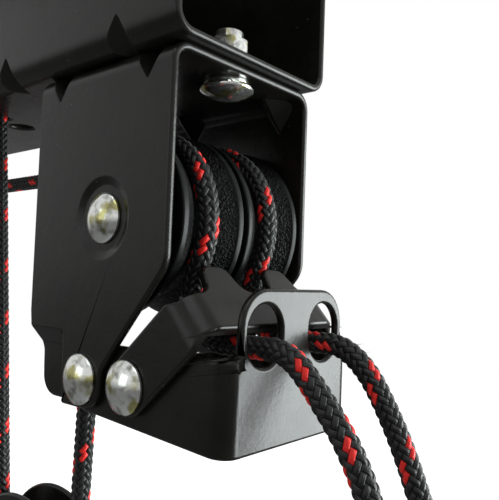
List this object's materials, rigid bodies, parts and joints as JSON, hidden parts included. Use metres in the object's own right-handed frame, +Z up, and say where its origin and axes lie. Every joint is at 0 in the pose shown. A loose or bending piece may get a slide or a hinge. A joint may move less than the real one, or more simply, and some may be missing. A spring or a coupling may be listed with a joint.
{
  "type": "wheelbarrow ceiling hoist",
  "caption": "Ceiling hoist of folded black steel: a channel carries pulley housings, a swinging rope lock with a cam, braided ropes and hook blocks.",
  "frame": {"origin": "on the ceiling plane, in the middle of the four ceiling screw holes", "axes": "+Z up into the ceiling, +Y along the channel from the rope lock to the rear pulley, +X across the channel"},
  "size_m": [0.1286, 0.5338, 0.4208],
  "materials": {
    "powder_coated_steel": "satin black powder coat on folded steel sheet",
    "zinc_plated_steel": "bright zinc-plated steel",
    "pulley_nylon": "moulded black nylon with a pebbled groove",
    "bronze_bush": "plain bronze",
    "braided_rope": "black braid with red tracer strands",
    "coil_tie": "woven hook-and-loop strap",
    "hook_coating": "dipped vinyl coating"
  },
  "bodies": {
    "mount_frame": {"ceiling_channel": "powder_coated_steel", "front_housing": "powder_coated_steel", "rear_housing": "powder_coated_steel", "housing_bolts": "zinc_plated_steel", "housing_nuts": "zinc_plated_steel", "housing_washers": "zinc_plated_steel", "front_axle": "zinc_plated_steel", "front_axle_washers": "zinc_plated_steel", "rear_axle": "zinc_plated_steel", "rear_axle_washers": "zinc_plated_steel", "stay_pin": "zinc_plated_steel", "left_rope_over_pulley": "braided_rope", "left_rope_load_leg": "braided_rope", "left_rope_fixed_leg": "braided_rope", "left_rope_knot": "braided_rope", "right_rope_top_run": "braided_rope", "right_rope_load_leg": "braided_rope", "right_rope_fixed_leg": "braided_rope", "right_rope_knot": "braided_rope"},
    "left_wheel": {"left_pulley": "pulley_nylon", "left_pulley_bush": "bronze_bush"},
    "right_wheel": {"right_pulley": "pulley_nylon", "right_pulley_bush": "bronze_bush"},
    "rear_wheel": {"rear_pulley": "pulley_nylon", "rear_pulley_bush": "bronze_bush"},
    "rope_lock": {"lock_bracket": "powder_coated_steel", "cam_pin": "zinc_plated_steel", "left_rope_lock_run": "braided_rope", "right_rope_lock_run": "braided_rope", "left_rope_tail": "braided_rope", "left_rope_coil": "braided_rope", "left_coil_tie": "coil_tie", "right_rope_tail": "braided_rope", "right_rope_coil": "braided_rope", "right_coil_tie": "coil_tie"},
    "rope_cam": {"cam_lever": "powder_coated_steel"},
    "front_block": {"front_block_strap": "powder_coated_steel", "front_block_axle": "zinc_plated_steel", "left_rope_block_bend": "braided_rope"},
    "front_block_wheel": {"front_block_pulley": "pulley_nylon", "front_block_bush": "bronze_bush"},
    "front_swivel": {"front_hook": "hook_coating"},
    "rear_block": {"rear_block_strap": "powder_coated_steel", "rear_block_axle": "zinc_plated_steel", "right_rope_block_bend": "braided_rope"},
    "rear_block_wheel": {"rear_block_pulley": "pulley_nylon", "rear_block_bush": "bronze_bush"},
    "rear_swivel": {"rear_hook": "hook_coating"}
  },
  "joints": [
    {"name": "left_pulley_spin", "type": "hinge", "parent": "mount_frame", "child": "left_wheel", "pos_m": [-0.0165, -0.179, -0.1283], "axis": [1, 0, 0], "continuous": true},
    {"name": "right_pulley_spin", "type": "hinge", "parent": "mount_frame", "child": "right_wheel", "pos_m": [0.0165, -0.179, -0.1283], "axis": [1, 0, 0], "continuous": true},
    {"name": "rear_pulley_spin", "type": "hinge", "parent": "mount_frame", "child": "rear_wheel", "pos_m": [0.0165, 0.081, -0.1283], "axis": [1, 0, 0], "continuous": true},
    {"name": "lock_swing", "type": "hinge", "parent": "mount_frame", "child": "rope_lock", "pos_m": [0, -0.1708, -0.1861], "axis": [1, 0, 0], "range_deg": [0, 8], "deforming": ["left_rope_lock_run", "right_rope_lock_run"]},
    {"name": "cam_swing", "type": "hinge", "parent": "rope_lock", "child": "rope_cam", "pos_m": [0, -0.1962, -0.1855], "axis": [1, 0, 0], "range_deg": [0, 5]},
    {"name": "front_block_lift", "type": "slide", "parent": "mount_frame", "child": "front_block", "axis": [0, 0, 1], "range_m": [-1.7, 0.03], "deforming": ["left_rope_load_leg", "left_rope_fixed_leg"]},
    {"name": "front_block_pulley_spin", "type": "hinge", "parent": "front_block", "child": "front_block_wheel", "pos_m": [-0.0165, -0.114, -0.2863], "axis": [1, 0, 0], "continuous": true},
    {"name": "front_hook_swivel", "type": "hinge", "parent": "front_block", "child": "front_swivel", "pos_m": [-0.0165, -0.114, -0.3563], "axis": [0, 0, 1], "continuous": true},
    {"name": "rear_block_lift", "type": "slide", "parent": "mount_frame", "child": "rear_block", "axis": [0, 0, 1], "range_m": [-1.7, 0.03], "deforming": ["right_rope_load_leg", "right_rope_fixed_leg"]},
    {"name": "rear_block_pulley_spin", "type": "hinge", "parent": "rear_block", "child": "rear_block_wheel", "pos_m": [0.0165, 0.146, -0.2863], "axis": [1, 0, 0], "continuous": true},
    {"name": "rear_hook_swivel", "type": "hinge", "parent": "rear_block", "child": "rear_swivel", "pos_m": [0.0165, 0.146, -0.3563], "axis": [0, 0, 1], "continuous": true}
  ],
  "couplings": [
    {"joint": "left_pulley_spin", "follows": "front_block_lift", "rad_per_m": 63.492},
    {"joint": "front_block_pulley_spin", "follows": "front_block_lift", "rad_per_m": -35.088},
    {"joint": "right_pulley_spin", "follows": "rear_block_lift", "rad_per_m": 63.492},
    {"joint": "rear_pulley_spin", "follows": "rear_block_lift", "rad_per_m": 63.492},
    {"joint": "rear_block_pulley_spin", "follows": "rear_block_lift", "rad_per_m": -35.088}
  ]
}
